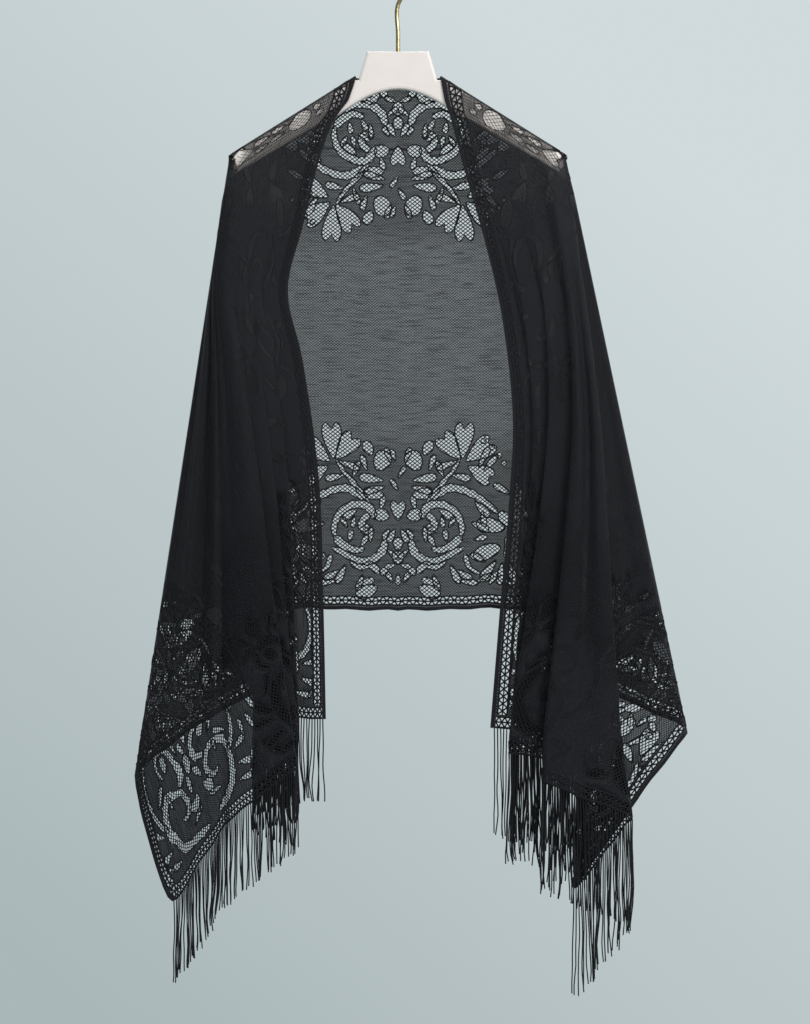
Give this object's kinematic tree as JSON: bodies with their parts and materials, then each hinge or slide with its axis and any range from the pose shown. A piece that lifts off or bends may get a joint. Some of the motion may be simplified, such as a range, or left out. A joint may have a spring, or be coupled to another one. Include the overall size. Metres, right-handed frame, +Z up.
{
  "type": "lace shawl on a hanger",
  "caption": "Long fringed lace shawl draped over a cream clothes hanger with a round metal hook; both ends hang in folds at the front.",
  "frame": {"origin": "the point on the inside of the hook's bend that rests on a rail", "axes": "+Z up, front faces -Y, +X to the right as seen from the front"},
  "size_m": [0.6334, 0.1052, 1.1877],
  "materials": {
    "lace": "black lace with a fine net ground",
    "fringe": "twisted black yarn, cut ends",
    "board": "smooth cream, satin",
    "hook": "polished pale gold"
  },
  "bodies": {
    "root": {"cloth_back": "lace", "cloth_front_left": "lace", "cloth_front_right": "lace", "fringe_left": "fringe", "fringe_right": "fringe", "hanger_board": "board", "hanger_hook": "hook"}
  },
  "joints": []
}
